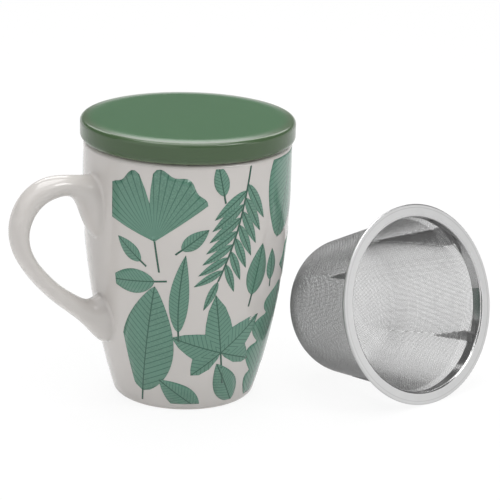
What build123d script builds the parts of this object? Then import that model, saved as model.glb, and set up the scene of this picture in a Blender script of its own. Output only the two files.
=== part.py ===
from build123d import *
import math
import os

# A lidded tea mug with its infuser laid on the table beside it, in millimetres.
# The origin is the centre of the mug's foot on the table, +Z is up, and the handle points along -X.

# Mug
MUG_HEIGHT = 108.0  # table to rim
MOUTH_RADIUS = 42.6  # outside of the wall at the mouth
BASE_RADIUS = 28.8  # where the outside curve would reach the table
BELLY_HEIGHT = 90.0  # above this the wall is upright
MUG_WALL = 4.1
FLOOR_THICKNESS = 5.0
FOOT_RECESS = 2.2  # depth of the hollow inside the foot ring
FOOT_RING = 4.2  # width of the foot ring, measured from the base's outer corner curve
BASE_ROUND = 3.2
RIM_ROUND = 1.9
FLOOR_ROUND = 9.0  # inside corner between wall and floor
FOOT_ROUND = 0.7

# Printed transfer
FILM_THICKNESS = 0.12
FILM_BOTTOM = 3.4  # height of its lower edge
FILM_TOP_GAP = 1.6  # bare glaze between its upper edge and the rim
FILM_HANDLE_GAP = 12.8  # bare glaze on each side of the handle's middle

# Handle
HANDLE_REACH = 36.8  # from the mouth's wall to the back of the handle
HANDLE_SPAN = 77.4  # from the top of the upper root to the bottom of the lower one
HANDLE_DROP = 9.1  # rim down to the top of the handle
HANDLE_WIDTH = 11.0  # across the grip
ROOT_WIDTH = 15.8  # across each root, where it spreads on the wall
ROOT_FILLET = 1.5  # slip smoothed round each root
ROOT_SINK = 3.2  # how far the root is drawn into the wall before it is trimmed

# Lid
LID_OVERHANG = 1.4
LID_THICKNESS = 9.5
LID_SHOULDER = 5.5  # outer zone of the top, which slopes down to the edge
LID_FALL = 0.7  # how far it falls there
LID_SHOULDER_ROUND = 30.0
LID_TOP_ROUND = 1.7
LID_EDGE_ROUND = 2.6
LID_SEAT_GAP = 0.1
LID_RING_DEPTH = 5.0
LID_RING_WALL = 3.6
LID_RING_ROUND = 1.2
LID_ROOF = 5.6  # ceramic left above the hollow in the lid
LID_RING_PLAY = 0.9  # round the ring, inside the infuser's collar

# Infuser
SHEET = 0.5  # steel of the rim and its collar
BAND_THICKNESS = 0.4
CLOTH_THICKNESS = 0.5  # woven wire, two wires thick
MOUTH_PLAY = 0.6  # round the band, inside the mug's mouth
FLANGE_SETBACK = 0.8  # flange edge inside the mug's outer wall
HEM_WIDTH = 1.6  # edge of the flange folded under
HEM_GAP = 0.05
HEM_ROUND = 0.45
COLLAR_DEPTH = 5.0
COLLAR_ROUND = 0.8
BAND_START = 0.8
BAND_BELOW_COLLAR = 0.3
BASKET_DEPTH = 60.1
BASKET_SHOULDER = 3.0  # height over which the cloth draws in below the band
BASKET_DRAW = 1.5  # how much it draws in there
BASKET_TAPER = 9.4  # further loss of radius from shoulder to floor
BASKET_ROUND = 18.0
BASKET_CROWN = 2.0
PLEAT_ANGLES = (45.0, 150.0, 240.0, 329.0)
PLEAT_WIDTHS = (9.0, 4.6, 7.5, 4.6)  # at the collar, one for each angle
PLEAT_LENGTHS = (30.0, 20.0, 26.0, 20.0)
PLEAT_THICKNESS = 0.5
GRID_COLUMNS = 24  # openings round the basket, a coarse stand-in for its weave
GRID_ROWS = 5
GRID_BAR = 2.0  # cloth left between two openings
GRID_FOOT = 8.3  # height above the basket's end at which the rows stop and the floor's grid starts
GRID_FLOOR_PITCH = 8.0

# Where the infuser lies
INFUSER_NEST = 1.7  # how far the flange reaches past the mouth's line, beside the tapered foot
INFUSER_FAR_END = 4.9  # how far behind the mug's axis its closed end lies, along Y
INFUSER_TURN = 11.4  # opening turned from -Y towards +X, degrees
OUTLINE_STEPS = 40  # points taken on each edge of an outline when it is laid on the table
LEAN_STEPS = 40  # halvings in the search for the leaning angle


def wall_arc_radius():
    """Radius of the curve that leaves the upright wall and reaches the table."""
    inset = MOUTH_RADIUS - BASE_RADIUS
    return (inset**2 + BELLY_HEIGHT**2) / (2 * inset)


def wall_radius(height, outwards=0.0):
    """Outside radius of the mug at a height, or of a surface that far outside it."""
    if height >= BELLY_HEIGHT:
        return MOUTH_RADIUS + outwards
    arc = wall_arc_radius()
    centre = MOUTH_RADIUS - arc
    return centre + math.sqrt((arc + outwards) ** 2 - (BELLY_HEIGHT - height) ** 2)


def wall_curve(low, high, outwards=0.0):
    """The wall's outline from one height to another, as an arc and an upright line."""
    middle = (low + BELLY_HEIGHT) / 2
    foot = (wall_radius(low, outwards), low)
    waist = (wall_radius(middle, outwards), middle)
    belly = (wall_radius(BELLY_HEIGHT, outwards), BELLY_HEIGHT)
    top = (MOUTH_RADIUS + outwards, high)
    return [ThreePointArc(foot, waist, belly), Line(belly, top)]


def rounded(face, rounds):
    """A flat outline with the corner nearest each point rounded."""
    for point, radius in rounds:
        corner = face.vertices().sort_by_distance((point[0], point[1], 0))[0]
        face = fillet(corner, radius)
    return face


def turned(face):
    """A half outline, drawn as radius and height, turned into a round solid."""
    return revolve(Plane.XZ * face, Axis.Z)


def outer_plug():
    """Everything inside the mug's outer surface, used to trim what is joined to it."""
    edges = wall_curve(0, MUG_HEIGHT)
    edges += Polyline((MOUTH_RADIUS, MUG_HEIGHT), (0, MUG_HEIGHT), (0, 0), (BASE_RADIUS, 0)).edges()
    face = rounded(make_face(edges), [((BASE_RADIUS, 0), BASE_ROUND)])
    return turned(face)


def mug_body():
    """The thrown body: foot ring, tapered wall, rounded rim."""
    floor = FOOT_RECESS + FLOOR_THICKNESS
    foot_inner = BASE_RADIUS - BASE_ROUND - FOOT_RING
    inner_floor = wall_radius(floor, -MUG_WALL)
    edges = wall_curve(0, MUG_HEIGHT) + wall_curve(floor, MUG_HEIGHT, -MUG_WALL)
    edges += [Line((MOUTH_RADIUS, MUG_HEIGHT), (MOUTH_RADIUS - MUG_WALL, MUG_HEIGHT))]
    below = [(inner_floor, floor), (0, floor), (0, FOOT_RECESS), (foot_inner, FOOT_RECESS)]
    below += [(foot_inner, 0), (BASE_RADIUS, 0)]
    edges += Polyline(*below).edges()
    rounds = [
        ((BASE_RADIUS, 0), BASE_ROUND),
        ((foot_inner, 0), FOOT_ROUND),
        ((foot_inner, FOOT_RECESS), FOOT_ROUND),
        ((inner_floor, floor), FLOOR_ROUND),
        ((MOUTH_RADIUS, MUG_HEIGHT), RIM_ROUND),
        ((MOUTH_RADIUS - MUG_WALL, MUG_HEIGHT), RIM_ROUND),
    ]
    return turned(rounded(make_face(edges), rounds))


def leaf_transfer():
    """The printed film that wraps the body, open on each side of the handle."""
    top = MUG_HEIGHT - FILM_TOP_GAP
    inside = wall_curve(FILM_BOTTOM, top)
    outside = wall_curve(FILM_BOTTOM, top, FILM_THICKNESS)
    ends = [
        Line((wall_radius(height), height), (wall_radius(height, FILM_THICKNESS), height))
        for height in (FILM_BOTTOM, top)
    ]
    sleeve = turned(make_face(inside + outside + ends))
    reach = 2 * MOUTH_RADIUS
    opening = Pos(-reach / 2, 0, MUG_HEIGHT / 2) * Box(reach, 2 * FILM_HANDLE_GAP, 2 * MUG_HEIGHT)
    return sleeve - opening


# The handle's side view, from the upper root to the lower one: at each station the back edge and
# the finger edge, each as a share of the reach beyond the mouth's wall and of the span downwards.
HANDLE_STATIONS = (
    (0.03, 0.016, 0.03, 0.340),
    (0.11, 0.013, 0.11, 0.270),
    (0.19, 0.010, 0.18, 0.185),
    (0.30, 0.004, 0.26, 0.130),
    (0.46, 0.000, 0.40, 0.111),
    (0.65, 0.017, 0.55, 0.129),
    (0.84, 0.078, 0.681, 0.173),
    (0.96, 0.169, 0.761, 0.236),
    (1.00, 0.275, 0.788, 0.304),
    (0.966, 0.371, 0.765, 0.368),
    (0.868, 0.467, 0.687, 0.443),
    (0.709, 0.570, 0.558, 0.520),
    (0.498, 0.674, 0.382, 0.602),
    (0.287, 0.759, 0.216, 0.659),
    (0.107, 0.837, 0.082, 0.693),
    (-0.016, 0.903, -0.016, 0.689),
)


def handle_section(station):
    """An oval across the handle at one station, wider where it is deeper."""
    back_out, back_down, grip_out, grip_down = station
    top = MUG_HEIGHT - HANDLE_DROP
    back = Vector(-MOUTH_RADIUS - back_out * HANDLE_REACH, 0, top - back_down * HANDLE_SPAN)
    grip = Vector(-MOUTH_RADIUS - grip_out * HANDLE_REACH, 0, top - grip_down * HANDLE_SPAN)
    half_depth = (back - grip).length / 2
    root_depth = (HANDLE_STATIONS[0][3] - HANDLE_STATIONS[0][1]) * HANDLE_SPAN / 2
    spread = max(0.0, (half_depth - HANDLE_WIDTH / 2) / (root_depth - HANDLE_WIDTH / 2))
    half_width = (HANDLE_WIDTH + spread * (ROOT_WIDTH - HANDLE_WIDTH)) / 2
    across = (back - grip).normalized()
    along = across.cross(Vector(0, 1, 0))
    plane = Plane(origin=(back + grip) / 2, x_dir=across, z_dir=along)
    return plane * scale(Circle(1), by=(half_depth, half_width, 1))


def sunk(station):
    """A root's station pushed inside the wall, so that trimming leaves it flush."""
    back_out, back_down, grip_out, grip_down = station
    top = MUG_HEIGHT - HANDLE_DROP
    low = top - max(back_down, grip_down) * HANDLE_SPAN
    out = (wall_radius(low) - MOUTH_RADIUS - ROOT_SINK) / HANDLE_REACH
    return (out, back_down, out, grip_down)


def mug_handle():
    """The cast handle, its two roots blended into the body's wall and trimmed to it."""
    stations = [sunk(HANDLE_STATIONS[0]), *HANDLE_STATIONS, sunk(HANDLE_STATIONS[-1])]
    blank = loft([handle_section(station) for station in stations])
    plug = outer_plug()
    joined = plug + blank
    seams = new_edges(plug, blank, combined=joined)
    return fillet(seams, ROOT_FILLET) - plug


def collar_inside():
    """Inside radius of the infuser's collar, from the mug's mouth inwards."""
    mouth = MOUTH_RADIUS - MUG_WALL
    return mouth - MOUTH_PLAY - BAND_THICKNESS - CLOTH_THICKNESS - SHEET


def lid():
    """The glazed lid: a thick disc with a locating ring under it."""
    radius = MOUTH_RADIUS + LID_OVERHANG
    ring = collar_inside() - LID_RING_PLAY
    hollow = ring - LID_RING_WALL
    roof = LID_THICKNESS - LID_ROOF
    shoulder = radius - LID_SHOULDER
    edge_top = LID_THICKNESS - LID_FALL
    corners = [(0, LID_THICKNESS), (shoulder, LID_THICKNESS), (radius, edge_top), (radius, 0), (ring, 0)]
    corners += [(ring, -LID_RING_DEPTH), (hollow, -LID_RING_DEPTH), (hollow, roof), (0, roof)]
    rounds = [
        ((shoulder, LID_THICKNESS), LID_SHOULDER_ROUND),
        ((radius, edge_top), LID_TOP_ROUND),
        ((radius, 0), LID_EDGE_ROUND),
        ((ring, 0), LID_RING_ROUND),
        ((ring, -LID_RING_DEPTH), LID_RING_ROUND),
        ((hollow, -LID_RING_DEPTH), LID_RING_ROUND),
        ((hollow, roof), LID_RING_ROUND),
    ]
    face = rounded(make_face(Polyline(*corners, close=True)), rounds)
    return Pos(0, 0, MUG_HEIGHT + LID_SEAT_GAP) * turned(face)


def flange_edge():
    """Radius of the infuser's flange, a little inside the mug's outer wall."""
    return MOUTH_RADIUS - FLANGE_SETBACK


def rim_outline():
    """The pressed rim in section: a flange, hemmed at its edge, and a collar that goes down."""
    inside = collar_inside()
    outside = inside + SHEET
    edge = flange_edge()
    hem_in = edge - HEM_WIDTH
    hem_low = -2 * SHEET - HEM_GAP
    corners = [(inside, 0), (edge, 0), (edge, hem_low), (hem_in, hem_low), (hem_in, -SHEET)]
    corners += [(outside, -SHEET), (outside, -COLLAR_DEPTH), (inside, -COLLAR_DEPTH)]
    rounds = [
        ((inside, 0), COLLAR_ROUND),
        ((edge, 0), HEM_ROUND),
        ((edge, hem_low), HEM_ROUND),
    ]
    return rounded(make_face(Polyline(*corners, close=True)), rounds)


def infuser_band():
    """The hoop that clamps the wire cloth on to the collar."""
    inside = collar_inside() + SHEET + CLOTH_THICKNESS
    low = -COLLAR_DEPTH - BAND_BELOW_COLLAR
    corners = [(inside, -BAND_START), (inside + BAND_THICKNESS, -BAND_START)]
    corners += [(inside + BAND_THICKNESS, low), (inside, low)]
    return turned(make_face(Polyline(*corners, close=True)))


def basket_corner_radius():
    """Radius at which the basket's side would meet its floor if the corner were sharp."""
    return collar_inside() + SHEET + CLOTH_THICKNESS - BASKET_DRAW - BASKET_TAPER


def basket_outline(grow):
    """Half of the basket in section, its edge that far outside the cloth's outer face."""
    top = collar_inside() + SHEET + CLOTH_THICKNESS + grow
    band_low = COLLAR_DEPTH + BAND_BELOW_COLLAR
    shoulder = (top - BASKET_DRAW, -band_low - BASKET_SHOULDER)
    depth = BASKET_DEPTH + grow
    corner = (basket_corner_radius() + grow, -depth + BASKET_CROWN)
    crown_radius = (corner[0] ** 2 + BASKET_CROWN**2) / (2 * BASKET_CROWN)
    half = corner[0] / 2
    crown = (half, -depth + crown_radius - math.sqrt(crown_radius**2 - half**2))
    edges = [
        Line((0, -BAND_START), (top, -BAND_START)),
        Line((top, -BAND_START), (top, -band_low)),
        Line((top, -band_low), shoulder),
        Line(shoulder, corner),
        ThreePointArc(corner, crown, (0, -depth)),
        Line((0, -depth), (0, -BAND_START)),
    ]
    rounds = [
        (corner, BASKET_ROUND + grow),
        (shoulder, BASKET_SHOULDER / 2),
    ]
    return rounded(make_face(edges), rounds)


def pleat(angle, width, length):
    """A fold of the cloth laid flat on the basket: wide at the band, pointed below."""
    start = -COLLAR_DEPTH - BAND_BELOW_COLLAR
    outline = Polyline((width / 2, start), (-width / 2, start), (0, start - length), close=True)
    wedge = extrude(Plane.YZ * make_face(outline), MOUTH_RADIUS)
    layer = turned(basket_outline(PLEAT_THICKNESS)) - turned(basket_outline(0))
    return Rot(0, 0, angle) * (wedge & layer)


def side_openings():
    """Rows of openings round the basket's side, as one wheel of wedges for each row."""
    high = -COLLAR_DEPTH - BAND_BELOW_COLLAR - BASKET_SHOULDER - GRID_BAR
    pitch = (high + BASKET_DEPTH - GRID_FOOT) / GRID_ROWS
    bar = Box(2 * MOUTH_RADIUS, GRID_BAR, pitch)
    bars = [Rot(0, 0, 360 * turn / GRID_COLUMNS) * bar for turn in range(GRID_COLUMNS // 2)]
    wheel = Cylinder(MOUTH_RADIUS, pitch - GRID_BAR) - bars
    return [Pos(0, 0, high - (row + 0.5) * pitch + GRID_BAR / 2) * wheel for row in range(GRID_ROWS)]


def floor_openings():
    """Square openings in the basket's floor, as far out as it faces down."""
    side = GRID_FLOOR_PITCH - GRID_BAR
    cell = Box(side, side, GRID_FOOT + GRID_BAR)
    reach = basket_corner_radius() - GRID_BAR
    count = math.ceil(reach / GRID_FLOOR_PITCH)
    places = [(step + 0.5) * GRID_FLOOR_PITCH for step in range(-count, count)]
    middle = GRID_FOOT / 2 - BASKET_DEPTH - GRID_BAR / 2
    return [
        Pos(x, y, middle) * cell
        for x in places
        for y in places
        if math.hypot(abs(x) + side / 2, abs(y) + side / 2) < reach
    ]


def infuser_mesh():
    """The woven-wire basket as a skin with a coarse grid of openings, and its four pleats."""
    skin = turned(basket_outline(0)) - turned(basket_outline(-CLOTH_THICKNESS))
    skin -= side_openings() + floor_openings()
    for angle, width, length in zip(PLEAT_ANGLES, PLEAT_WIDTHS, PLEAT_LENGTHS):
        skin += pleat(angle, width, length)
    return skin


def outline_points(face):
    """Points along a half outline, as radius and height."""
    shares = [step / OUTLINE_STEPS for step in range(OUTLINE_STEPS + 1)]
    return [edge.position_at(share) for edge in face.edges() for share in shares]


def lowest(points, lean):
    """How low an outline reaches when its axis leans up by an angle, in radians."""
    return min(point.Y * math.sin(lean) - point.X * math.cos(lean) for point in points)


def lying_place():
    """The infuser's place on the table: it leans back until rim and basket both touch."""
    rim = outline_points(rim_outline())
    basket = outline_points(basket_outline(0))
    level, upright = 0.0, math.pi / 3
    for _ in range(LEAN_STEPS):
        lean = (level + upright) / 2
        if lowest(rim, lean) < lowest(basket, lean):
            level = lean
        else:
            upright = lean
    turn = math.radians(INFUSER_TURN)
    length = BASKET_DEPTH * math.cos(lean) * math.cos(turn)
    centre = Vector(
        MOUTH_RADIUS + flange_edge() - INFUSER_NEST,
        INFUSER_FAR_END - length,
        -lowest(rim + basket, lean),
    )
    opening = Vector(math.sin(turn), -math.cos(turn), math.tan(lean)).normalized()
    return Plane(origin=centre, x_dir=(math.cos(turn), math.sin(turn), 0), z_dir=opening).location


def main():
    lying = lying_place()
    parts = {
        "mug_body": mug_body(),
        "mug_handle": mug_handle(),
        "leaf_transfer": leaf_transfer(),
        "lid": lid(),
        "infuser_rim": lying * turned(rim_outline()),
        "infuser_band": lying * infuser_band(),
        "infuser_mesh": lying * infuser_mesh(),
    }
    os.makedirs("parts", exist_ok=True)
    for name, part in parts.items():
        export_step(part, f"parts/{name}.step")
        print(name, round(part.volume, 1), "mm3")


main()
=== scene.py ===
# %% [markdown]
# # A lidded tea mug and its infuser
#
# The object is a tapered ceramic mug with a loop handle, a green glazed lid and a leaf print fired
# on to its body. Its infuser, a basket of fine wire cloth in a steel rim, lies on the table beside
# it.
#
# The mug, the lid and the steel rim come from the frame, which holds the real sizes. What is made
# here is what a solid model leaves plain: the glazes, the printed leaves, the steel's finish and the
# cloth woven from single wires.

import math

import bmesh
import bpy
import numpy as np
from mathutils import Matrix, Vector


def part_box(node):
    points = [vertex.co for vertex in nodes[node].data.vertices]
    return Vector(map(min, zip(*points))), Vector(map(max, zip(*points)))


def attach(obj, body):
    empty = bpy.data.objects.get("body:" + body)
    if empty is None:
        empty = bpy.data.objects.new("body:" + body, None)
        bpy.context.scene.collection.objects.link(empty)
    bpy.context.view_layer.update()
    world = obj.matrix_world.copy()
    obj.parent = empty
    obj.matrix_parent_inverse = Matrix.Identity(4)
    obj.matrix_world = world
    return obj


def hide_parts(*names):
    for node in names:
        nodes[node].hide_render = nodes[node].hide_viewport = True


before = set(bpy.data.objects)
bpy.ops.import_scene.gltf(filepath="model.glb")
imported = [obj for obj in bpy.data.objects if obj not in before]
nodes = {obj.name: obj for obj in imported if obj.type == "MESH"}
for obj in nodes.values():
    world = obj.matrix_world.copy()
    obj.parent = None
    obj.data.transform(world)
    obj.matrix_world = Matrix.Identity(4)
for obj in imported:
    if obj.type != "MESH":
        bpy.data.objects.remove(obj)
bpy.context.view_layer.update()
MM = 0.001
print("nodes in the frame:", sorted(nodes))

# %% [markdown]
# ## Helpers for materials
#
# Colours are written as sRGB hex values, as a colour picker shows them. The renderer works in linear
# light, so one function turns them. A second function adds a shader node, fills in its sockets and
# links it, which keeps each material short enough to read.


# %% Colour and node helpers
def linear(hex_colour):
    """An sRGB hex colour as linear red, green, blue and alpha."""
    values = [int(hex_colour[i:i + 2], 16) / 255 for i in (1, 3, 5)]
    bent = [v / 12.92 if v <= 0.04045 else ((v + 0.055) / 1.055) ** 2.4 for v in values]
    return (*bent, 1.0)


def add(tree, kind, sockets=None, links=None, **settings):
    """Add a node: settings are its own, sockets are input values, links are outputs of other nodes."""
    node = tree.nodes.new("ShaderNode" + kind)
    for name, value in settings.items():
        setattr(node, name, value)
    for name, value in (sockets or {}).items():
        node.inputs[name].default_value = value
    for name, output in (links or {}).items():
        tree.links.new(output, node.inputs[name])
    return node


def new_material(name):
    """An empty node material and its tree."""
    material = bpy.data.materials.new(name)
    material.use_nodes = True
    material.node_tree.nodes.clear()
    return material, material.node_tree


def blend_colours(tree, factor, first, second):
    """The colour output of a mix of two hex colours or outputs."""
    mix = add(tree, "Mix", data_type="RGBA", links={0: factor})
    for socket, colour in ((6, first), (7, second)):
        if isinstance(colour, str):
            mix.inputs[socket].default_value = linear(colour)
        else:
            tree.links.new(colour, mix.inputs[socket])
    return mix.outputs[2]


def ramp(tree, value, low, high, least=0.0, most=1.0):
    """A smooth step from least, where the value is low, to most, where it is high."""
    sockets = {"From Min": low, "From Max": high, "To Min": least, "To Max": most}
    step = add(tree, "MapRange", sockets, {"Value": value}, interpolation_type="SMOOTHSTEP")
    return step.outputs["Result"]


def noise(tree, place, size, detail=2.0):
    """A noise whose features are that many metres apart."""
    return add(tree, "TexNoise", {"Scale": 1 / size, "Detail": detail}, {"Vector": place}).outputs["Fac"]


def finish_surface(tree, sockets, links):
    """A Principled surface as the material's output."""
    surface = add(tree, "BsdfPrincipled", sockets, links)
    add(tree, "OutputMaterial", links={"Surface": surface.outputs["BSDF"]})


def dress(node_name, material):
    """Give a piece of the frame a finished material."""
    slots = nodes[node_name].data.materials
    slots.clear()
    slots.append(material)


# %% [markdown]
# ## White glaze
#
# The body and the handle are slip-cast stoneware under one warm white glaze. A fired glaze is a skin
# of glass: very smooth, with an index of refraction near 1.5, and with a faint waviness where it ran
# before it set. Its colour is never quite even, so a slow noise moves it between two near whites. The
# foot ring stands on the kiln shelf, so its lowest millimetre is wiped bare and stays rough.

# %% White glaze material
GLAZE_IOR = 1.5
GLAZE_WAVE = 9 * MM  # distance between the glaze's shallow waves
GLAZE_RELIEF = 0.05 * MM  # height of those waves at full strength
GLAZE_CLOUD = 45 * MM  # size of the faint clouds in its colour
BARE_FOOT = 0.9 * MM  # height of the wiped foot ring
BARE_ROUGHNESS = 0.75
GLOSS_ROUGHNESS = 0.1


def glaze_waves(tree, place, strength):
    """The surface direction of a glaze with its shallow waves."""
    wave = noise(tree, place, GLAZE_WAVE, 1.0)
    bump = add(tree, "Bump", {"Strength": strength, "Distance": GLAZE_RELIEF}, {"Height": wave})
    return bump.outputs["Normal"]


def white_glaze():
    material, tree = new_material("fired_white_glaze")
    place = add(tree, "TexCoord").outputs["Object"]
    colour = blend_colours(tree, noise(tree, place, GLAZE_CLOUD), "#BEBAB7", "#C6C2BE")
    height = add(tree, "SeparateXYZ", links={"Vector": place}).outputs["Z"]
    foot_edge = (0.6 * BARE_FOOT, BARE_FOOT)
    colour = blend_colours(tree, ramp(tree, height, *foot_edge), "#B9AEA1", colour)
    roughness = ramp(tree, height, *foot_edge, BARE_ROUGHNESS, GLOSS_ROUGHNESS)
    links = {"Base Color": colour, "Roughness": roughness, "Normal": glaze_waves(tree, place, 0.25)}
    finish_surface(tree, {"IOR": GLAZE_IOR}, links)
    return material


glaze = white_glaze()
for name in ("mug_body", "mug_handle"):
    dress(name, glaze)
print("white glaze on the body and the handle")

# %% [markdown]
# ## Green glaze
#
# The lid's glaze is coloured right through. On the flat top it lies in an even pool of deep green. On
# the sloping shoulder it thins out, and on the upright side the darker, browner slip beneath it
# shows. Along the lowest edge a pale band is painted in, a painted reflection of the white mug below
# the lid. The three could be painted on an image, but height on the lid is enough to place them all.

# %% Green glaze material
LID_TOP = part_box("lid")[1].z
LID_THICKNESS = 9.5 * MM  # of the disc that shows above the mouth
LID_LOWEST = LID_TOP - LID_THICKNESS
LID_RUN_OFF = 0.5 * MM  # depth over which the top's pool thins out
PAINTED_REFLECTION_BAND = 1.5 * MM  # height above the lower edge of the pale band, a painted reflection of the white mug below


def green_glaze():
    material, tree = new_material("fired_green_glaze")
    place = add(tree, "TexCoord").outputs["Object"]
    height = add(tree, "SeparateXYZ", links={"Vector": place}).outputs["Z"]
    cloud = noise(tree, place, GLAZE_CLOUD, 3.0)
    top = blend_colours(tree, cloud, "#2A5731", "#2F5E36")
    side = blend_colours(tree, cloud, "#3A5033", "#41573A")
    colour = blend_colours(tree, ramp(tree, height, LID_TOP - LID_RUN_OFF, LID_TOP), side, top)
    # painted reflection: the lowest band of the lid turns pale, standing in for the white mug mirrored in
    # its lower edge
    above_painted_reflection = ramp(tree, height, LID_LOWEST + 0.2 * PAINTED_REFLECTION_BAND, LID_LOWEST + PAINTED_REFLECTION_BAND)
    colour = blend_colours(tree, above_painted_reflection, "#56634A", colour)
    links = {"Base Color": colour, "Normal": glaze_waves(tree, place, 0.2)}
    finish_surface(tree, {"IOR": GLAZE_IOR, "Roughness": 0.2}, links)
    return material


dress("lid", green_glaze())
print("green glaze on the lid, whose top is at", round(LID_TOP / MM, 1), "mm")

# %% [markdown]
# ## The mug's wall
#
# The print has to follow the wall, so the wall's outline is needed as a function: upright above the
# belly, and one long arc from there to the foot. The leaves are drawn flat, in millimetres, and each
# is laid on the wall round its own middle, so it keeps its shape where the mug narrows.

# %% Wall outline
MOUTH_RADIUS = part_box("mug_body")[1].x / MM
BASE_RADIUS = 28.8  # where the arc would meet the table
BELLY_HEIGHT = 90.0  # the wall is upright above this
WALL_ARC = ((MOUTH_RADIUS - BASE_RADIUS) ** 2 + BELLY_HEIGHT**2) / (2 * (MOUTH_RADIUS - BASE_RADIUS))


def wall_radius(height):
    """Outside radius of the mug at a height, in millimetres."""
    below = max(0.0, BELLY_HEIGHT - height)
    return MOUTH_RADIUS - WALL_ARC + math.sqrt(WALL_ARC**2 - below**2)


def on_wall(angle, height, outwards):
    """A point that far outside the wall, in metres; the angle is in radians from +X."""
    radius = wall_radius(height) + outwards
    return Vector((radius * math.cos(angle), radius * math.sin(angle), height)) * MM


print("wall radius at the foot, the middle and the rim:", [round(wall_radius(h), 1) for h in (0, 54, 108)])

# %% [markdown]
# ## Printed leaves
#
# A ceramic transfer is screen-printed in flat enamel colours, slid on to the glazed mug and fired into
# the glaze. It has a film's thickness and no relief. It could be an image laid over the mug, but an
# image blurs when it is seen from close by. So each leaf is a thin blade of that film: a bmesh grid
# whose points are moved to the leaf's outline, with an edge as sharp in the model as in print.
#
# A shape function takes a grid point, with s from -1 to 1 across the blade and t from 0 to 1 along it,
# and returns four numbers: where the point goes, across and along, how far it is from the nearest
# midrib in millimetres, and a phase that counts side veins. The last two become a UV map, from which
# the enamel's material draws ribs and veins that follow each blade.

# %% Leaf blades
FILM_OUT = 0.09  # the print's face above the glaze, mm
FILM_THICKNESS = 0.16  # part of it is sunk in the glaze, mm
VEIN_SLANT = 0.75  # how steeply side veins run forward from the midrib
OAK_NOTCH = 0.42  # share of an oak leaf's width that is left between two lobes
OAK_ROUND = 0.6  # below 1 the lobes are round and the notches narrow
OAK_LEAN = 0.3  # how far a lobe leans forward, as a share of its reach
OAK_START = 0.1  # share of the first lobe that is missing at the stalk
FAN_SPLIT = 0.42  # depth of the split in a fan's edge, as a share of the radius
FAN_SPLIT_HALF = 0.07  # and about half its width, in radians
FAN_WAVE = 0.035  # depth of the waves along the edge, as a share of the radius
FAN_WAVES = 15  # waves that the edge of a full circle would have
FAN_DROOP = 0.12  # how much shorter a fan is at its two sides
FAN_RIBS = 9  # ribs of a fan for each radian
NO_RIB = 9.0  # a distance from the midrib at which none is drawn, mm


def smooth_arch(t, fullness, peak):
    """Half-width of a blade along its length, 0 at both ends and 1 at its widest."""
    warped = t ** (math.log(0.5) / math.log(peak))
    return max(0.0, math.sin(math.pi * warped)) ** fullness


def plain_leaf(length, width, veins=2.0, bend=0.0, fullness=0.85, peak=0.42):
    """A blade with one midrib, which may bend sideways."""
    def shape(s, t):
        across = s * width / 2 * smooth_arch(t, fullness, peak)
        along = length * t
        phase = (along - VEIN_SLANT * abs(across)) / veins
        return across + bend * t * t, along, abs(across), phase
    return shape


def oak_leaf(length, width, lobes=4, veins=2.2):
    """A blade with round lobes that lean forward."""
    def shape(s, t):
        beat = abs(math.sin(math.pi * (lobes * t + OAK_START))) ** OAK_ROUND
        half = width / 2 * smooth_arch(t, fullness=0.55, peak=0.56)
        across = s * half * (OAK_NOTCH + (1 - OAK_NOTCH) * beat)
        along = length * t + OAK_LEAN * abs(across) * (1 - t)
        return across, along, abs(across), (along - VEIN_SLANT * abs(across)) / veins
    return shape


def fan_leaf(radius, spread):
    """A fan with a split in the middle of its wavy edge and ribs that radiate from its stalk."""
    def shape(s, t):
        turn = s * math.radians(spread) / 2
        split = FAN_SPLIT * math.exp(-((turn / FAN_SPLIT_HALF) ** 2))
        waves = FAN_WAVE * math.cos(turn * FAN_WAVES)
        reach = radius * t * (1 - t * (split + waves) - FAN_DROOP * s**4)
        return reach * math.sin(turn), reach * math.cos(turn), NO_RIB, abs(turn) * FAN_RIBS
    return shape


# %% [markdown]
# A lobed leaf is a fan as well, but its edge is far out at the tip of each lobe and near the stalk
# between two, and each lobe has a midrib of its own.

# %% Lobed leaf
LOBE_STEP = 60  # degrees between the lobes
LOBE_LENGTHS = (1.0, 0.84, 0.56)  # the middle one, its neighbours and the lowest, as shares of the radius
LOBE_NOTCH = 0.44  # where two lobes meet, as a share of the radius
LOBE_POINT = 1.3  # above 1 the lobes are slender and pointed
STAR_SWEEP = 150  # degrees from the middle lobe to each end of the blade


def star_leaf(radius, veins=2.0):
    """A blade with five pointed lobes, each with its own midrib, from one stalk."""
    def shape(s, t):
        turn = s * STAR_SWEEP
        lobe = LOBE_STEP * round(turn / LOBE_STEP)
        off = (turn - lobe) / (LOBE_STEP / 2)
        length = LOBE_LENGTHS[abs(lobe) // LOBE_STEP]
        edge = radius * (LOBE_NOTCH + (length - LOBE_NOTCH) * (1 - abs(off)) ** LOBE_POINT)
        if abs(turn) > 2 * LOBE_STEP:
            edge *= 1 - 0.75 * off**2  # the ends are rounded off towards the stalk
        reach = edge * t
        across = reach * abs(math.sin(math.radians(turn - lobe)))
        along = reach * math.cos(math.radians(turn - lobe))
        phase = (along - VEIN_SLANT * across) / veins
        place = math.radians(turn)
        return reach * math.sin(place), reach * math.cos(place), across, phase
    return shape


def stalk(length, width=0.75, bend=0.0):
    """A thin dark stalk: all of it lies within the width of a midrib."""
    def shape(s, t):
        return s * width / 2 + bend * t * t, length * t, 0.0, 0.5
    return shape


# %% [markdown]
# ## Laying a leaf on the wall
#
# A leaf's flat points are complex numbers, so turning is one multiplication and moving is one
# addition. After it is laid on, the blade is cut along the transfer's straight borders with
# `bisect_plane`, as scissors would. Only the motifs on the handle's side can reach an upright border.

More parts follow.
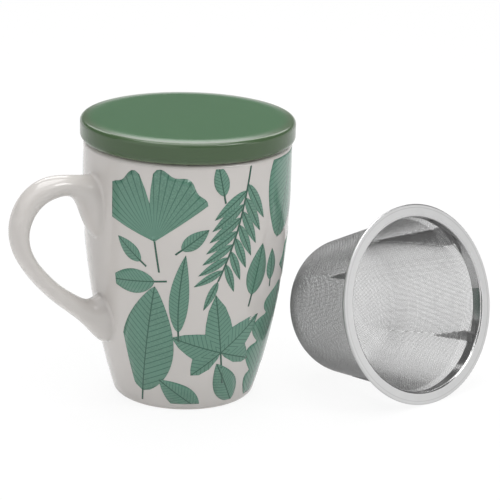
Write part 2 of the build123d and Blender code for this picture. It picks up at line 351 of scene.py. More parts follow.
# %% Laying on and trimming
FILM_BOTTOM, FILM_TOP = (edge.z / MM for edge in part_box("leaf_transfer"))
FILM_GAP_FRONT = 12.8  # bare glaze from the handle's middle to the border on the -Y side
FILM_GAP_BACK = 18.5  # the same on the +Y side, where the drawing ends sooner
CUT_REACH = 1e-7  # a point this near a border, in metres, counts as lying on it
print_mesh = bmesh.new()
leaf_uv = print_mesh.loops.layers.uv.new("leaf")


def turned_by(angle):
    """The complex number that turns a flat point by an angle in radians."""
    return complex(math.cos(angle), math.sin(angle))


def trim(geometry, point, normal):
    """Cut away what lies beyond a plane and return what is left."""
    cut = bmesh.ops.bisect_plane(
        print_mesh, geom=geometry, plane_co=point, plane_no=normal, clear_outer=True, dist=CUT_REACH
    )
    return cut["geom"]


def lay_leaf(shape, angle, height, turn, base=0j, rows=20, columns=6, lift=0.0):
    """Print one blade: angle and height are the motif's place, turn is its direction from upright."""
    grid = bmesh.ops.create_grid(print_mesh, x_segments=columns, y_segments=rows, size=0.5)["verts"]
    labels = {}
    for vert in grid:
        across, along, rib, phase = shape(2 * vert.co.x, vert.co.y + 0.5)
        flat = complex(across, along) * turned_by(turn) + base
        labels[vert] = (rib, phase)
        level = height + flat.imag
        vert.co = on_wall(angle + flat.real / wall_radius(level), level, FILM_OUT + lift)
    faces = list({face for vert in grid for face in vert.link_faces})
    for face in faces:
        for loop in face.loops:
            loop[leaf_uv].uv = labels[loop.vert]
    edges = list({edge for face in faces for edge in face.edges})
    geometry = grid + edges + faces
    geometry = trim(geometry, (0, 0, FILM_TOP * MM), (0, 0, 1))
    geometry = trim(geometry, (0, 0, FILM_BOTTOM * MM), (0, 0, -1))
    if math.cos(angle) < 0:
        side, gap = (1, FILM_GAP_BACK) if math.sin(angle) > 0 else (-1, FILM_GAP_FRONT)
        trim(geometry, (0, side * gap * MM, 0), (0, -side, 0))


# %% [markdown]
# ## Motifs
#
# A motif is a small plant: one large leaf on its stalk, or a stem with leaves along it. The leaves
# grow smaller towards the stem's tip, and their places follow its bend.

# %% Motif functions
STALK_OVERLAP = 1  # how far a stalk reaches into its leaf, mm
STEM_LIFT = 0.01  # a stem's print lies this far over that of its leaves, mm
LAST_PAIR = 0.96  # share of the stem by which its last pair of leaves has grown
SHRINK = 0.35  # how much smaller leaves are at the tip than at the root
TIP_SIZE = 0.7  # size of the leaf at the tip
ALTERNATE = 0.48  # where leaves take turns, the second stands this share of a step further on


def single(shape, stem, rows=24, columns=8):
    """A large leaf with a short stalk."""
    def draw(angle, height, turn):
        back = complex(0, -stem) * turned_by(turn)
        lay_leaf(stalk(stem + STALK_OVERLAP), angle, height, turn, back, rows=4, columns=2)
        lay_leaf(shape, angle, height, turn, rows=rows, columns=columns)
    return draw


def sprig(length, bend, pairs, leaf, splay, first=0.18, alternate=False, rows=12):
    """A bending stem with leaves on both sides and one at its tip. leaf(size) gives a blade."""
    def draw(angle, height, turn):
        swing = turned_by(turn)
        lay_leaf(stalk(length, bend=bend), angle, height, turn, rows=16, columns=2, lift=STEM_LIFT)
        step = (LAST_PAIR - first) / pairs
        for pair in range(pairs):
            share = first + step * pair
            size = 1.0 - SHRINK * share
            for side in (-1, 1):
                t = share + (ALTERNATE * step if alternate and side > 0 else 0)
                root = complex(bend * t * t, length * t)
                lean = math.atan2(2 * bend * t, length)
                way = turn - side * math.radians(splay) - lean
                lay_leaf(leaf(size), angle, height, way, root * swing, rows=rows, columns=4)
        tip = complex(bend, length) * swing
        way = turn - math.atan2(2 * bend, length)
        lay_leaf(leaf(TIP_SIZE), angle, height, way, tip, rows=rows, columns=4)
    return draw


# %% Twelve kinds of motif, sizes in millimetres
laurel = single(plain_leaf(50, 23, veins=2.6, fullness=0.8), stem=8, rows=32)
broad = single(plain_leaf(42, 31, veins=2.4, fullness=0.62, peak=0.38), stem=9, rows=32)
oak = single(oak_leaf(52, 29), stem=8, rows=56)
fan = single(fan_leaf(29, 124), stem=13, rows=10, columns=40)
small_fan = single(fan_leaf(24, 120), stem=12, rows=10, columns=36)
star = single(star_leaf(27), stem=15, rows=14, columns=30)
slender = single(plain_leaf(34, 8, veins=1.6, bend=4), stem=4)
small = single(plain_leaf(22, 10.5, veins=1.6), stem=5, rows=18, columns=4)
bud = single(plain_leaf(14, 6.4, veins=1.5), stem=3, rows=14, columns=4)


def willow_blade(size):
    return plain_leaf(19 * size, 4.8 * size, veins=1.5)


def silver_blade(size):
    return plain_leaf(11 * size, 8 * size, veins=1.8, fullness=0.5, peak=0.5)


def twig_blade(size):
    return plain_leaf(8.5 * size, 3.4 * size, veins=1.4)


willow = sprig(50, 6, 7, willow_blade, 40, alternate=True)
silver = sprig(38, -5, 5, silver_blade, 62)
twig = sprig(19, 3, 4, twig_blade, 46, rows=10)
print("nine single leaves and three sprigs")

# %% [markdown]
# ## The layout
#
# The transfer's drawing is laid out as a plant collector would lay cuttings on a sheet: large
# leaves first, sprigs between them, and small leaves in the gaps. It covers a little less than half
# of the mug's turn and is drawn twice. What is left over lies behind the handle and stays bare.

# %% Layout
LAYOUT = (
    # motif, mm round the belly from the start of the half, height in mm, turn in degrees to the left
    (laurel, 9, 8, -12), (fan, 20, 76, 8), (willow, 60, 108, 172), (star, 51, 27, 10),
    (small, 20, 59, 96), (broad, 91, 113, 162), (oak, 77, 1, -11), (small, 64, 51, -10),
    (slender, 30, 37, 2), (silver, 112, 2, -8), (slender, 109, 106, 186), (small, 42, 1, 52),
    (small_fan, 103, 47, -4), (small, 63, 3, 30), (bud, 31, 73, -52), (bud, 48, 95, 12),
    (bud, 14, 67, 50), (bud, 76, 55, 5), (twig, 119, 66, -6), (bud, 92, 34, 16),
)
HALF_TURN = 162.5  # degrees round the mug that one drawing covers


def print_layout():
    for half in range(2):
        for motif, along, height, turn in LAYOUT:
            angle = math.radians((half - 1) * HALF_TURN) + along / MOUTH_RADIUS
            motif(angle, height, math.radians(turn))


# %% [markdown]
# ## Enamel of the print
#
# The enamel is a mid green with darker ribs. Under the flux it is almost as glossy as the glaze round
# it. The screen lets the colour through unevenly, so a fine noise lightens it in specks, and a slower
# one makes some leaves paler than others.

# %% Enamel material
RIB_HALF = 0.32  # half-width of a printed midrib, mm
SPECK = 0.6 * MM  # grain of the screen print, drawn a little coarse so that it shows
LEAF_CLOUD = 22 * MM  # size of the paler and darker patches


def leaf_enamel():
    material, tree = new_material("screen_printed_green_enamel")
    place = add(tree, "TexCoord").outputs["Object"]
    drawn = add(tree, "SeparateXYZ", links={"Vector": add(tree, "UVMap", uv_map="leaf").outputs["UV"]})
    speck = ramp(tree, noise(tree, place, SPECK), 0.35, 0.7)
    colour = blend_colours(tree, speck, "#517767", "#628A78")
    cloud = ramp(tree, noise(tree, place, LEAF_CLOUD, 1.0), 0.3, 0.7)
    colour = blend_colours(tree, cloud, colour, "#5C8574")
    turns = add(tree, "Math", {1: 2 * math.pi}, {0: drawn.outputs["Y"]}, operation="MULTIPLY")
    wave = add(tree, "Math", links={0: turns.outputs["Value"]}, operation="COSINE")
    vein = ramp(tree, wave.outputs["Value"], 0.72, 0.97)  # the crests of the wave
    colour = blend_colours(tree, vein, colour, "#3A6554")
    rib = ramp(tree, drawn.outputs["X"], 0.5 * RIB_HALF, RIB_HALF, 1.0, 0.0)
    colour = blend_colours(tree, rib, colour, "#2B5344")
    finish_surface(tree, {"IOR": GLAZE_IOR, "Roughness": 0.16}, {"Base Color": colour})
    return material


# %% The print as a piece
def finish_piece(name, mesh, material, body):
    """Make a mesh an object that rides on a body of the frame."""
    mesh.materials.clear()
    mesh.materials.append(material)
    piece = bpy.data.objects.new(name, mesh)
    bpy.context.scene.collection.objects.link(piece)
    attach(piece, body)
    return piece


print_layout()
leaf_data = bpy.data.meshes.new("leaf_print")
print_mesh.to_mesh(leaf_data)
print_mesh.free()
leaf_data.shade_smooth()
leaves = finish_piece("leaf_print", leaf_data, leaf_enamel(), "mug")
film = leaves.modifiers.new("film", "SOLIDIFY")
film.thickness = FILM_THICKNESS * MM
film.offset = -1
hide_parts("leaf_transfer")
print("leaf print:", len(leaf_data.polygons), "faces")

# %% [markdown]
# ## The infuser's own axes
#
# The infuser leans back on its basket, so its pieces are easiest to make upright and then laid down.
# This matrix takes a point given from the middle of the rim, with the opening along +Z, to its place
# on the table.

# %% Infuser placement
RIM_CENTRE = Vector((82.7, -51.755, 40.379)) * MM
OPENING_TURN = math.radians(11.4)  # from -Y towards +X
OPENING_LEAN = math.radians(15.92)  # above the table


def infuser_axes():
    side = Vector((math.cos(OPENING_TURN), math.sin(OPENING_TURN), 0))
    level = Vector((math.sin(OPENING_TURN), -math.cos(OPENING_TURN), 0))
    opening = level * math.cos(OPENING_LEAN) + Vector((0, 0, math.sin(OPENING_LEAN)))
    up = opening.cross(side)
    turned = Matrix((side, up, opening)).transposed().to_4x4()
    return Matrix.Translation(RIM_CENTRE) @ turned


LYING = infuser_axes()
rim_points = [LYING.inverted() @ v.co for v in nodes["infuser_rim"].data.vertices]
rim_reach = max(math.hypot(p.x, p.y) for p in rim_points)
print("rim reaches", round(max(p.z for p in rim_points) / MM, 3), "mm past its face")
print("rim radius", round(rim_reach / MM, 2), "mm")

# %% [markdown]
# ## Steel
#
# The rim is pressed from stainless sheet and its flat face is satin: a fine grit run round and round
# leaves circular scratches. The collar inside it is left bright from the press. Two materials would
# need faces of their own, and the frame's mesh stays as it is. So both are one material here, whose
# roughness depends on how far a point is from the rim's axis. The hoop that clamps the cloth is
# polished.

# %% Steel materials
FLAT_INSIDE = 37.4 * MM  # radius where the satin face ends and the bright collar starts
FACE_BLEND = 0.4 * MM  # width over which one finish turns into the other
FACE_ROUGHNESS = 0.34
COLLAR_ROUGHNESS = 0.12
HEM_LINE = 40.3 * MM  # radius of the faint line that the folded hem leaves in the face
HEM_LINE_HALF = 0.25 * MM
SCRATCH = 0.16 * MM  # spacing of the circular scratches, coarser than real grit so that it shows
SCRATCH_RELIEF = 0.02 * MM  # their depth at full strength


def infuser_place(tree):
    """Object coordinates seen from the middle of the rim, with the opening along +Z."""
    sockets = {"Location": LYING.translation, "Rotation": LYING.to_euler()}
    place = add(tree, "TexCoord").outputs["Object"]
    return add(tree, "Mapping", sockets, {"Vector": place}, vector_type="TEXTURE").outputs["Vector"]


def rim_steel():
    material, tree = new_material("satin_stainless_steel")
    place = infuser_place(tree)
    parts = add(tree, "SeparateXYZ", links={"Vector": place})
    flat = add(tree, "CombineXYZ", links={"X": parts.outputs["X"], "Y": parts.outputs["Y"]})
    radius = add(tree, "VectorMath", links={0: flat.outputs["Vector"]}, operation="LENGTH").outputs["Value"]
    spokes = add(tree, "CombineXYZ", links={"X": radius})
    scratches = noise(tree, spokes.outputs["Vector"], SCRATCH)
    roughness = ramp(tree, radius, FLAT_INSIDE - FACE_BLEND, FLAT_INSIDE, COLLAR_ROUGHNESS, FACE_ROUGHNESS)
    colour = blend_colours(tree, noise(tree, place, 6 * MM, 3.0), "#BDBDBD", "#C6C6C6")
    off_line = add(tree, "Math", {1: HEM_LINE}, {0: radius}, operation="SUBTRACT")
    off_line = add(tree, "Math", links={0: off_line.outputs["Value"]}, operation="ABSOLUTE")
    groove = ramp(tree, off_line.outputs["Value"], 0.3 * HEM_LINE_HALF, HEM_LINE_HALF, 1.0, 0.0)
    colour = blend_colours(tree, groove, colour, "#B2B2B2")
    bump = add(tree, "Bump", {"Strength": 0.15, "Distance": SCRATCH_RELIEF}, {"Height": scratches})
    links = {"Base Color": colour, "Roughness": roughness, "Normal": bump.outputs["Normal"]}
    finish_surface(tree, {"Metallic": 1.0}, links)
    return material


def bright_steel():
    material, tree = new_material("polished_stainless_steel")
    colour = blend_colours(tree, noise(tree, infuser_place(tree), 5 * MM), "#C4C4C4", "#D0D0D0")
    finish_surface(tree, {"Metallic": 1.0, "Roughness": 0.1}, {"Base Color": colour})
    return material


dress("infuser_rim", rim_steel())
dress("infuser_band", bright_steel())
print("satin steel on the rim, polished steel on the hoop")

# %% [markdown]
# ## Wire cloth
#
# The basket is one square of woven wire cloth, pressed over a former. Across its floor the wires still
# cross at right angles. Up the side they do so only in the middle of each quarter: there one set runs
# up and the other runs round, and at the corners of the square the spare cloth is gathered into a
# fold.
#
# The cloth could be a picture of a weave on a smooth shell, but then light would not pass between the
# wires, and the basket's depth would be lost. So each wire is a curve of its own with a square bevel,
# waving over and under the wires it crosses. That is more than forty thousand crossings, and they are
# worked out together with numpy.
#
# The side view of the cloth is worked out first: floor, corner, side, shoulder and the stretch under
# the hoop. Lengths are in millimetres. Heights start at the rim's face and are negative towards the
# floor.

# %% Side view of the basket
WIRE_PITCH = 0.56  # between wires; coarser than the real cloth so that the weave shows
WIRE_RADIUS = 0.08  # leaves more than half of the cloth open
WAVE = 0.1  # how far a wire swings from the cloth's middle surface
CLOTH_HALF = 0.25  # half the thickness of the solid basket that the cloth stands for
COLLAR_OUT = 37.0  # outside radius of the collar that the cloth is clamped on
BASKET_DEPTH = 60.1
BASKET_CROWN = 2.0  # how far the floor's middle lies below its edge
BASKET_ROUND = 18.0  # outside radius of the corner between side and floor
CLOTH_TOP = 1.5  # depth of the cloth's top edge, which the hoop covers
BAND_LOW = 5.3  # depth of the hoop's lower edge
SHOULDER_IN = 1.5  # how far the side steps in and down from the hoop
SHOULDER_DROP = 3.0
SIDE_TAPER = 9.4  # how much further in the side is at the floor than at the shoulder
SHOULDER = np.array((COLLAR_OUT + CLOTH_HALF - SHOULDER_IN, -BAND_LOW - SHOULDER_DROP))
CORNER = np.array((SHOULDER[0] - SIDE_TAPER, CLOTH_HALF - BASKET_DEPTH + BASKET_CROWN))
CORNER_ROUND = BASKET_ROUND - CLOTH_HALF


def arc(middle, radius, first, last, steps):
    """Points on an arc in the side view; its turns are measured from straight down."""
    turns = np.linspace(first, last, steps)
    return np.asarray(middle) + radius * np.c_[np.sin(turns), -np.cos(turns)]


def basket_profile():
    """The cloth's middle surface, from the floor's middle to its top edge: path, radius and height."""
    along = (SHOULDER - CORNER) / np.linalg.norm(SHOULDER - CORNER)
    inwards = np.array((-along[1], along[0]))
    crown_radius = (CORNER[0] ** 2 + BASKET_CROWN**2) / (2 * BASKET_CROWN)
    crown_middle = np.array((0.0, CORNER[1] - BASKET_CROWN + crown_radius))
    offset = CORNER + inwards * CORNER_ROUND - crown_middle
    reach = math.sqrt((offset @ along) ** 2 - offset @ offset + (crown_radius - CORNER_ROUND) ** 2)
    middle = CORNER + inwards * CORNER_ROUND - along * (offset @ along + reach)
    floor_turn = math.atan2(middle[0], crown_middle[1] - middle[1])
    side_turn = math.atan2(-inwards[0], inwards[1])
    hoop = COLLAR_OUT + CLOTH_HALF
    points = np.concatenate((
        arc(crown_middle, crown_radius, 0.0, floor_turn, steps=12),
        arc(middle, CORNER_ROUND, floor_turn, side_turn, steps=24)[1:],
        [SHOULDER, (hoop, -BAND_LOW), (hoop, -CLOTH_TOP)],
    ))
    steps = np.hypot(*np.diff(points, axis=0).T)
    return np.concatenate(([0], np.cumsum(steps))), points[:, 0], points[:, 1]


PATH, PATH_RADIUS, PATH_HEIGHT = basket_profile()
print("cloth from the middle of the floor to its top edge:", round(PATH[-1], 1), "mm")

# %% [markdown]
# ## Where the wires cross
#
# In each quarter a wire that runs up keeps its distance `v` from the quarter's middle, and a wire that
# runs round keeps its distance `u` from the middle of the floor. Between the flat floor and the
# upright side the two rules change smoothly, and a crossing is found by halving.

# %% Crossings
FLOOR_END = 14.0  # path length up to which the cloth is flat
SIDE_START = 46.0  # path length from which wires run straight up and round
QUARTER = math.pi / 4  # from the middle of a quarter to its corner, in radians
QUARTER_TURN = 11.5  # turn of the first quarter's middle from the rim's side axis, degrees
HALVINGS = 26  # each one halves the error
ANGLE_REACH = 1.2 * QUARTER  # the search goes a little past the corners
PATH_REACH = 1.3 * PATH[-1]  # and past the cloth's top edge
SEAM_SAMPLES = 2000  # places along the cloth at which seam_path measures


def side_share(path):
    """0 on the flat floor and 1 on the side."""
    t = np.clip((path - FLOOR_END) / (SIDE_START - FLOOR_END), 0, 1)
    return t * t * (3 - 2 * t)


def cloth_angle(path, v):
    """The angle in a quarter at which a point at that path length is v from the middle wire."""
    low = np.full(np.broadcast(path, v).shape, -ANGLE_REACH)
    high = -low
    share = side_share(path)
    radius = np.interp(path, PATH, PATH_RADIUS)
    for _ in range(HALVINGS):
        middle = (low + high) / 2
        reached = (1 - share) * path * np.sin(middle) + share * radius * middle
        low = np.where(reached < v, middle, low)
        high = np.where(reached < v, high, middle)
    return (low + high) / 2


def cloth_u(path, angle):
    """The distance u of a point at that path length and angle."""
    share = side_share(path)
    return (1 - share) * path * np.cos(angle) + share * path


def crossing(u, v):
    """Path length and angle of the point of a quarter that has these two distances."""
    low = np.zeros(np.broadcast(u, v).shape)
    high = np.full(low.shape, PATH_REACH)
    for _ in range(HALVINGS):
        middle = (low + high) / 2
        short = cloth_u(middle, cloth_angle(middle, v)) < u
        low = np.where(short, middle, low)
        high = np.where(short, high, middle)
    path = (low + high) / 2
    return path, cloth_angle(path, v)


def seam_path(distance, measure):
    """Path length at which a wire of one set reaches the corner of its quarter."""
    paths = np.linspace(0, PATH[-1], SEAM_SAMPLES)
    return np.interp(distance, measure(paths), paths)


def up_limit(path):
    """How far from a quarter's middle the cloth reaches at a path length."""
    share = side_share(path)
    radius = np.interp(path, PATH, PATH_RADIUS)
    return (1 - share) * path * math.sin(QUARTER) + share * radius * QUARTER


print("cloth is", round(2 * float(up_limit(PATH[-1])), 1), "mm wide in each quarter at the hoop")

# %% [markdown]
# ## Folds
#
# Where the spare cloth is gathered, a fold is pressed flat against the side: wide under the hoop, and
# pointed one and a half to three and a half centimetres further down. A crease runs along it and on
# past its point, because the fold pulls the cloth round it a little inwards. The widest fold's crease
# is what divides the basket's inside into a dark part and a bright one.

# %% Folds and their creases
FOLDS = (
    # degrees round the basket, width and length in mm, lean, and depth and reach of the crease in mm
    (60.0, 10.7, 34.0, -2.0, 2.2, 74.0),
    (149.0, 3.6, 16.0, 0.2, 0.9, 36.0),
    (240.0, 7.5, 26.0, 0.0, 1.0, 45.0),
    (324.5, 4.6, 17.0, 0.6, 2.2, 60.0),
)  # the lean says how many half-widths a fold's middle lies to the side of its point
CREASE_WIDTH = 6.5  # distance round the basket over which a crease dies away
CREASE_START = 3.0  # distance below the cloth's top edge over which a crease deepens
FOLD_TOP = 1.0  # distance from the cloth's top edge to the fold
FOLD_TUCK = 4.0  # length over which a fold keeps its full width, most of it under the hoop
FOLD_HEAD = FOLD_TOP + FOLD_TUCK  # from there on it narrows


def fold_half(fold, below):
    """Half the width of a fold at a distance below the cloth's top edge."""
    _, width, length, _, _, _ = fold
    return np.clip(width / 2 * (1 - (below - FOLD_HEAD) / length), 0, width / 2)


def dent(path, turn, radius):
    """How far the creases draw the cloth inwards.

    Each follows the edge that its fold leans to, or the middle of a fold that doesn't lean.
    """
    depth = 0
    below = PATH[-1] - path
    for fold in FOLDS:
        angle, _, _, lean, crease, reach = fold
        edge = (lean + np.sign(lean)) * fold_half(fold, below)
        around = np.angle(np.exp(1j * (turn - math.radians(angle)))) * radius
        off = np.abs(around - edge)
        fade = np.clip(1 - below / reach, 0, 1) * np.clip(below / CREASE_START, 0, 1)
        depth = depth + crease * np.exp(-off / CREASE_WIDTH) * fade
    return depth


# %% [markdown]
# One function turns a place on the cloth into a point in the frame. It moves the point square to the
# cloth's side view, inwards by the creases' depth and outwards or inwards by the wire's own wave.

# %% Points on the cloth
SLOPE_STEP = 0.5  # the cloth's slope is measured this far to each side of a point


def cloth_points(path, turn, outwards):
    """Points on the cloth, in metres in the frame's axes; turn is the angle round the basket."""
    radius = np.interp(path, PATH, PATH_RADIUS)
    height = np.interp(path, PATH, PATH_HEIGHT)
    after = path + SLOPE_STEP
    before = path - SLOPE_STEP
    wider = np.interp(after, PATH, PATH_RADIUS) - np.interp(before, PATH, PATH_RADIUS)
    higher = np.interp(after, PATH, PATH_HEIGHT) - np.interp(before, PATH, PATH_HEIGHT)
    size = np.hypot(wider, higher)
    off = outwards - dent(path, turn, radius)
    radius = radius + off * higher / size
    height = height - off * wider / size
    local = np.stack([radius * np.cos(turn), radius * np.sin(turn), height], axis=-1) * MM
    axes = np.array(LYING)
    return local @ axes[:3, :3].T + axes[:3, 3]


def lay_wire(curve, points):
    """Add one wire to a curve as a row of straight stretches."""
    spline = curve.splines.new("POLY")
    spline.points.add(len(points) - 1)
    spline.points.foreach_set("co", np.c_[points, np.ones(len(points))].ravel())


def new_wires(name):
    """A curve whose splines are four-sided wires with closed ends."""
    curve = bpy.data.curves.new(name, "CURVE")
    curve.dimensions = "3D"
    curve.bevel_depth = WIRE_RADIUS * MM
    curve.bevel_resolution = 0
    curve.use_fill_caps = True
    return curve


def checkered(rows, columns):
    """1 and -1 in turn, along both ways of a grid: which wire is on top at each crossing."""
    return np.where(np.add.outer(np.arange(rows), np.arange(columns)) % 2, 1.0, -1.0)


# %% [markdown]
# ## Weaving
#
# Each quarter is woven in two sets. The sign of the wave changes from one crossing to the next, along
# a wire and from wire to wire, which is what makes a plain weave.

# %% Weave the quarters
def weave_quarter(up_wires, round_wires, quarter):
    middle = 2 * QUARTER * quarter + math.radians(QUARTER_TURN)
    half_count = round(float(up_limit(PATH[-1])) / WIRE_PITCH)
    v = (np.arange(-half_count, half_count) + 0.5) * WIRE_PITCH
    u = (np.arange(round(PATH[-1] / WIRE_PITCH)) + 0.5) * WIRE_PITCH
    path, angle = crossing(u[:, None], v[None, :])
    inside = (np.abs(angle) < QUARTER) & (path < PATH[-1])
    swing = checkered(len(u), len(v)) * WAVE
    for column in range(len(v)):
        rows = inside[:, column]
        if rows.sum() > 1:
            start = seam_path(abs(v[column]), up_limit)
            end_angle = float(cloth_angle(PATH[-1], v[column]))
            paths = np.concatenate(([start], path[rows, column], [PATH[-1]]))
            angles = np.concatenate(([math.copysign(QUARTER, v[column])], angle[rows, column], [end_angle]))
            wave = np.concatenate(([0], swing[rows, column], [0]))
            lay_wire(up_wires, cloth_points(paths, angles + middle, wave))
    for row in range(len(u)):
        columns = inside[row]
        if columns.sum() > 1:
            end = seam_path(u[row], lambda paths: cloth_u(paths, QUARTER))
            paths = np.concatenate(([end], path[row, columns], [end]))
            angles = np.concatenate(([-QUARTER], angle[row, columns], [QUARTER]))
            wave = np.concatenate(([0], -swing[row, columns], [0]))
            lay_wire(round_wires, cloth_points(paths, angles + middle, wave))
    print("quarter", quarter + 1, "has", inside.sum(), "crossings")


cloth = []
for quarter in range(4):
    sets = [new_wires(f"cloth_quarter_{quarter + 1}_{way}") for way in ("up", "round")]
    weave_quarter(*sets, quarter)
    cloth += sets

# %% [markdown]
# The folds are patches of the same cloth, one inside and one outside the basket's side, so that light
# has three layers to pass there and the folds look dark, as doubled cloth does. The wires of a patch
# stop at the fold's outline. Those that run down lean one way outside and the other way inside, as
# they do where cloth is folded over.

# %% Weave the folds
FOLD_OFFSET = 0.42  # from the side's cloth to each patch
FOLD_THICKER = 1.4  # how much thicker a patch's wires are, so that it is as dense as gathered cloth
FOLD_SLANT = 0.35  # how far the wires that run down lean sideways for each millimetre
FIRST_ROW = 0.4  # from the patch's top to its first wire


def weave_fold(curve, fold, outwards, slant):
    angle, width, length, lean, _, _ = fold
    rows = np.arange(FIRST_ROW, FOLD_TUCK + length, WIRE_PITCH)
    count = round(3 * width / WIRE_PITCH)  # enough for a patch that leans far to one side
    columns = (np.arange(-count, count) + 0.5) * WIRE_PITCH
    down, across = np.meshgrid(rows, columns, indexing="ij")
    across = across + slant * (down - length / 3)
    below = FOLD_TOP + down
    path = PATH[-1] - below
    half = fold_half(fold, below)
    inside = np.abs(across - lean * half) < half
    turn = across / np.interp(path, PATH, PATH_RADIUS) + math.radians(angle)
    swing = checkered(len(rows), len(columns)) * WAVE
    over = cloth_points(path, turn, outwards + swing)
    under = cloth_points(path, turn, outwards - swing)
    for column in range(len(columns)):
        if inside[:, column].sum() > 1:
            lay_wire(curve, over[inside[:, column], column])
    for row in range(len(rows)):
        if inside[row].sum() > 1:
            lay_wire(curve, under[row, inside[row]])


folds = new_wires("cloth_folds")
folds.bevel_depth *= FOLD_THICKER
for fold in FOLDS:
    weave_fold(folds, fold, FOLD_OFFSET, FOLD_SLANT)
    weave_fold(folds, fold, -FOLD_OFFSET, -FOLD_SLANT)
cloth.append(folds)
print("fold wires:", len(folds.splines))

# %% [markdown]
# ## Wire
#
# The wire is drawn stainless steel, bright but fine, so what the eye sees of it is a soft grey. A
# slight change of tone from place to place keeps the cloth from looking ruled.

# %% Wire material and the cloth's pieces
def drawn_wire():
    material, tree = new_material("drawn_stainless_wire")
    place = add(tree, "TexCoord").outputs["Object"]
    colour = blend_colours(tree, noise(tree, place, 4 * MM, 3.0), "#8E8E8E", "#A4A4A4")
    finish_surface(tree, {"Metallic": 1.0, "Roughness": 0.38}, {"Base Color": colour})
    return material


def piece_from_curve(curve, material):
    """Turn a curve of wires into a mesh piece of the infuser."""
    source = bpy.data.objects.new(curve.name + "_curve", curve)
    bpy.context.scene.collection.objects.link(source)
    mesh = bpy.data.meshes.new_from_object(source.evaluated_get(bpy.context.evaluated_depsgraph_get()))
    bpy.data.objects.remove(source)
    mesh.name = curve.name
    piece = finish_piece(curve.name, mesh, material, "infuser")
    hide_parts("infuser_mesh")
    print(piece.name, "has", sum(len(face.vertices) - 2 for face in mesh.polygons), "triangles")


wire = drawn_wire()
for curve in cloth:
    piece_from_curve(curve, wire)

# %% [markdown]
# ## Table and backdrop
#
# The object stands in a white studio, on a wide sheet of paper that curves up far behind it, all
# round, so that any view ends in white. What lights the object stays at a plain level, so its colours
# stay true. The camera sees the paper as nearly white, and so do gloss and metal. Near the object the
# paper keeps part of its own shading, so the shadow under the pieces is seen.

# %% Paper sweep and world
SWEEP_RADIUS = 4.0  # this and the next four are in metres
SWEEP_HEIGHT = 0.7
SWEEP_BEND = 0.5
NEAR = 0.3
FAR = 1.2
WHITE_NEAR = 0.9  # share of plain white in what the camera and gloss see of the paper up to NEAR
WHITE_FAR = 0.98  # and from FAR on
ROOM_LIGHT = 0.2  # what the dim room around the table adds


def background_rays(tree):
    """1 for rays that show the background: from the camera, off gloss and through glass."""
    path = add(tree, "LightPath").outputs
    seen = path["Is Camera Ray"]
    for kind in ("Is Glossy Ray", "Is Transmission Ray"):
        seen = add(tree, "Math", links={0: seen, 1: path[kind]}, operation="MAXIMUM").outputs["Value"]
    return seen


def paper_material():
    material, tree = new_material("white_studio_paper")
    place = add(tree, "TexCoord").outputs["Object"]
    distance = add(tree, "VectorMath", links={0: place}, operation="LENGTH").outputs["Value"]
    share = ramp(tree, distance, NEAR, FAR, WHITE_NEAR, WHITE_FAR)
    share = add(tree, "Math", links={0: background_rays(tree), 1: share}, operation="MULTIPLY")
    paper = add(tree, "BsdfPrincipled", {"Base Color": linear("#F4F4F4"), "Roughness": 0.5})
    white = add(tree, "Emission", {"Color": (1, 1, 1, 1), "Strength": 1.0})
    links = {0: share.outputs["Value"], 1: paper.outputs["BSDF"], 2: white.outputs["Emission"]}
    both = add(tree, "MixShader", links=links)
    add(tree, "OutputMaterial", links={"Surface": both.outputs[0]})
    return material


def paper_sweep():
    sheet = bmesh.new()
    bmesh.ops.create_circle(sheet, cap_ends=True, segments=64, radius=SWEEP_RADIUS)
    rim = list(sheet.edges)
    wall = bmesh.ops.extrude_edge_only(sheet, edges=rim)["geom"]
    raised = [part for part in wall if isinstance(part, bmesh.types.BMVert)]
    bmesh.ops.translate(sheet, verts=raised, vec=(0, 0, SWEEP_HEIGHT))
    bmesh.ops.bevel(
        sheet, geom=rim, offset=SWEEP_BEND, segments=8, profile=0.5, affect="EDGES", material=-1
    )
    mesh = bpy.data.meshes.new("paper_sweep")
    sheet.to_mesh(mesh)
    sheet.free()
    mesh.shade_smooth()
    mesh.materials.append(paper_material())
    paper = bpy.data.objects.new("paper_sweep", mesh)
    bpy.context.scene.collection.objects.link(paper)
    print("paper sweep:", len(mesh.polygons), "faces")


def studio_world():
    world = bpy.data.worlds.new("studio")
    world.use_nodes = True
    tree = world.node_tree
    tree.nodes.clear()
    light = add(tree, "Background", {"Color": (1, 1, 1, 1), "Strength": ROOM_LIGHT})
    add(tree, "OutputWorld", links={"Surface": light.outputs[0]})
    bpy.context.scene.world = world


paper_sweep()
studio_world()

# %% [markdown]
# ## Camera
#
# The camera looks slightly down with a long lens, from a metre away. Its direction is given by its
# place, the point it looks at and a small roll.

# %% Camera
CAMERA_PLACE = Vector((-0.45467, -0.83740, 0.35837))
CAMERA_TARGET = Vector((0.02407, -0.01159, 0.06031))
CAMERA_ROLL = math.radians(1.565)
CAMERA_LENS = 173.43
SENSOR_WIDTH = 36.0


def studio_camera():
    data = bpy.data.cameras.new("camera")
    data.lens = CAMERA_LENS
    data.sensor_width = SENSOR_WIDTH
    camera = bpy.data.objects.new("camera", data)
    aim = (CAMERA_TARGET - CAMERA_PLACE).to_track_quat("-Z", "Y").to_matrix().to_4x4()
    camera.matrix_world = Matrix.Translation(CAMERA_PLACE) @ aim @ Matrix.Rotation(CAMERA_ROLL, 4, "Z")
    bpy.context.scene.collection.objects.link(camera)
    bpy.context.scene.camera = camera
    print("camera is", round((CAMERA_TARGET - CAMERA_PLACE).length, 2), "m from what it looks at")


studio_camera()
bpy.context.scene.view_settings.view_transform = "Standard"

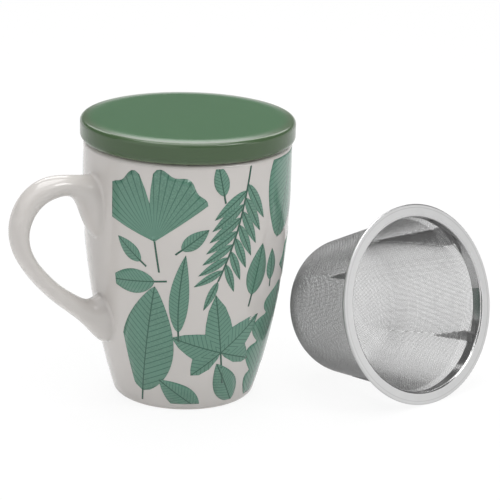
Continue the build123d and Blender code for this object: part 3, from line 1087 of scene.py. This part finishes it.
# %% [markdown]
# ## Lamps
#
# One large lamp would light the object, but a glossy surface also mirrors what stands round it, and
# each faces another way. So there are seven soft boxes, and most are there for one reflection. The
# level box overhead gives the even light from above, and the lid's rounded edge and the handle's upper
# bend mirror it. The strip at the back makes the pale band along the front of the lid's shoulder. The
# strip high in front fills the fronts, with the white wall behind the camera, to its left. The small
# key box, high in front at the right, makes the bright spot on top of the handle.
#
# The last two are for the steel, which shows little but what it mirrors. The rim's flat face mirrors
# the dim panel at the right in place of the white paper, so it stays grey. The collar inside it
# mirrors the narrow rim light.

# %% Lamps
line_of_sight = CAMERA_TARGET - CAMERA_PLACE
AHEAD = Vector((line_of_sight.x, line_of_sight.y, 0)).normalized()
RIGHT = Vector((AHEAD.y, -AHEAD.x, 0))
MIDDLE = Vector((0.03, -0.02, 0.06))  # between the mug and the infuser
TILT = 0.001  # a level lamp is aimed this little ahead of straight down, so that its turn is known


def soft_box(name, ahead, right, height, size, brightness, level=False):
    """A rectangular lamp placed as the camera sees it, in metres from the middle, which it faces.

    A level one faces straight down. Its power follows from its brightness for each square metre.
    """
    lamp = bpy.data.lights.new(name, "AREA")
    lamp.shape = "RECTANGLE"
    lamp.size, lamp.size_y = size
    lamp.energy = brightness * math.pi * size[0] * size[1]
    box = bpy.data.objects.new(name, lamp)
    box.location = MIDDLE + AHEAD * ahead + RIGHT * right + Vector((0, 0, height))
    aim = AHEAD * TILT - Vector((0, 0, 1)) if level else MIDDLE - box.location
    box.rotation_euler = aim.to_track_quat("-Z", "Y").to_euler()
    bpy.context.scene.collection.objects.link(box)
    print(name, "gives", round(lamp.energy, 1), "W")


soft_box("front_strip", ahead=-0.58, right=-0.1, height=0.95, size=(1.7, 0.35), brightness=1.5)
soft_box("back_strip", ahead=1.1, right=0.0, height=0.86, size=(1.5, 0.5), brightness=3.0)
soft_box("top_box", ahead=0.1, right=-0.1, height=1.1, size=(0.9, 0.8), brightness=4.2, level=True)
soft_box("key_box", ahead=-0.37, right=0.66, height=0.9, size=(0.42, 0.42), brightness=7.6)
soft_box("white_wall", ahead=-1.2, right=-1.1, height=0.7, size=(2.4, 1.4), brightness=0.85)
soft_box("right_panel", ahead=-0.1, right=1.2, height=0.1, size=(1.0, 0.5), brightness=0.25)
soft_box("rim_light", ahead=-0.34, right=1.1, height=0.38, size=(0.3, 0.6), brightness=1.7)
